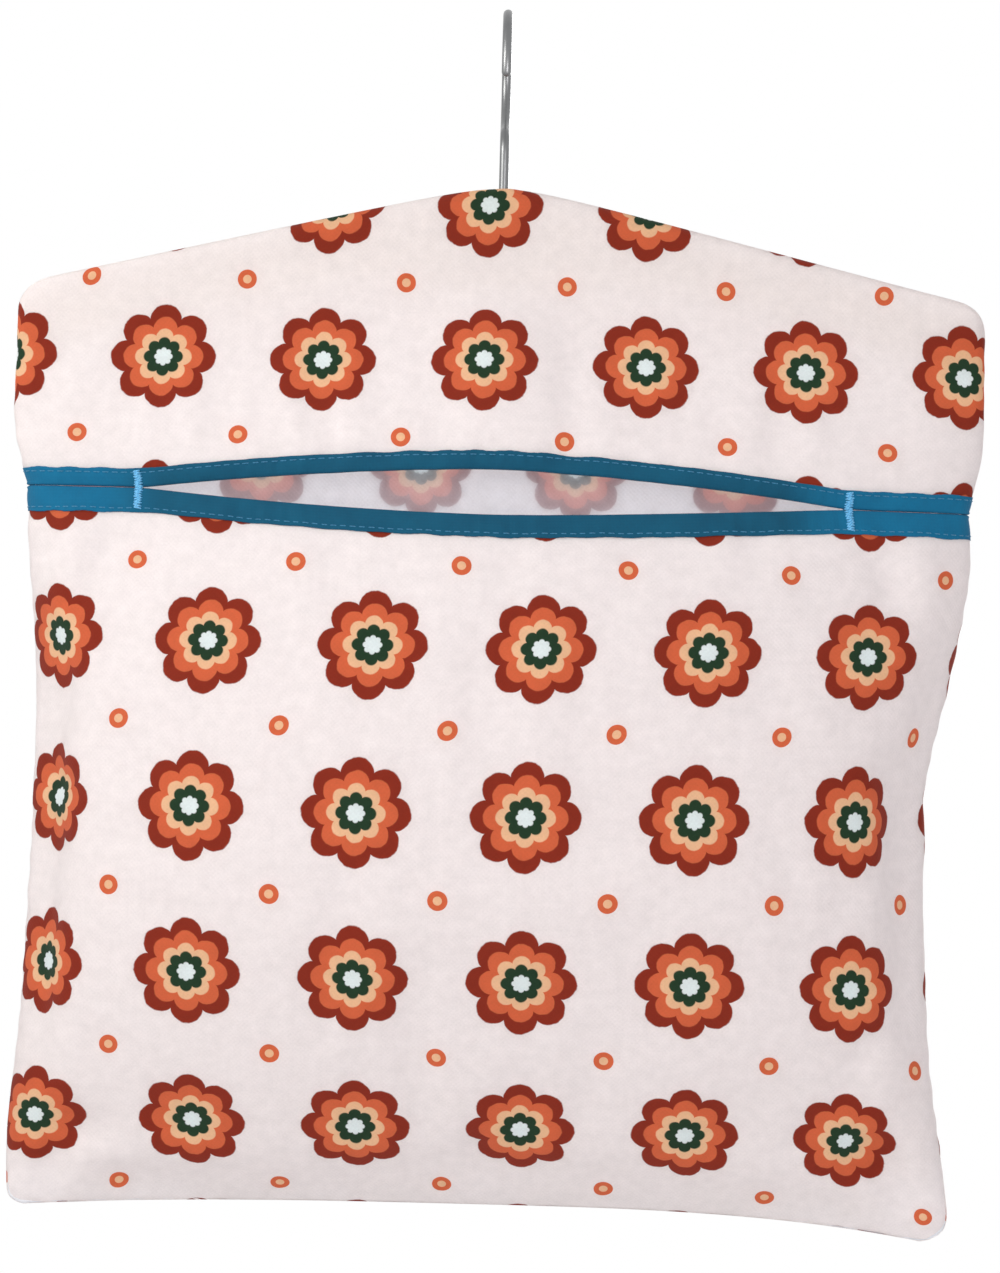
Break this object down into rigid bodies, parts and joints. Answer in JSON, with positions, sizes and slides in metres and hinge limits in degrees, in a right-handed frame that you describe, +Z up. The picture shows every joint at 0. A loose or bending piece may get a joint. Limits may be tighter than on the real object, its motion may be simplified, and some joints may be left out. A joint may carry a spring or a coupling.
{
  "type": "hanging peg bag",
  "caption": "Hanging cotton peg bag sewn round a wooden hanger, with a swivelling wire hook and a tape-bound slit across the front through which clothes pegs go in and out.",
  "frame": {"origin": "inside the crown of the wire hook, where the washing line or rail lies", "axes": "+Z up along the swivel axis of the hook, -Y out of the front of the bag, +X to the viewer's right"},
  "size_m": [0.3006, 0.0702, 0.379],
  "materials": {
    "printed_cotton": "plain woven cotton, pale pink-white with a small repeating print",
    "binding_cotton": "folded cotton bias tape, teal blue",
    "tack_thread": "close zigzag thread, light blue",
    "seam_thread": "oversewn cloth edges, off-white",
    "hanger_wood": "sanded beech",
    "hook_steel": "bright plated wire",
    "washer_steel": "plain zinc plated"
  },
  "bodies": {
    "hook": {"hook": "hook_steel"},
    "bag": {"hook_washer": "washer_steel", "hanger_bar": "hanger_wood", "front_yoke": "printed_cotton", "front_pocket": "printed_cotton", "back_panel": "printed_cotton", "yoke_binding": "binding_cotton", "pocket_binding": "binding_cotton", "left_bar_tack": "tack_thread", "right_bar_tack": "tack_thread", "left_shoulder_seam": "seam_thread", "right_shoulder_seam": "seam_thread", "left_side_seam": "seam_thread", "right_side_seam": "seam_thread", "hem_seam": "seam_thread"}
  },
  "joints": [
    {"name": "hook_swivel", "type": "hinge", "parent": "hook", "child": "bag", "pos_m": [0, 0, -0.07], "axis": [0, 0, 1], "continuous": true}
  ]
}
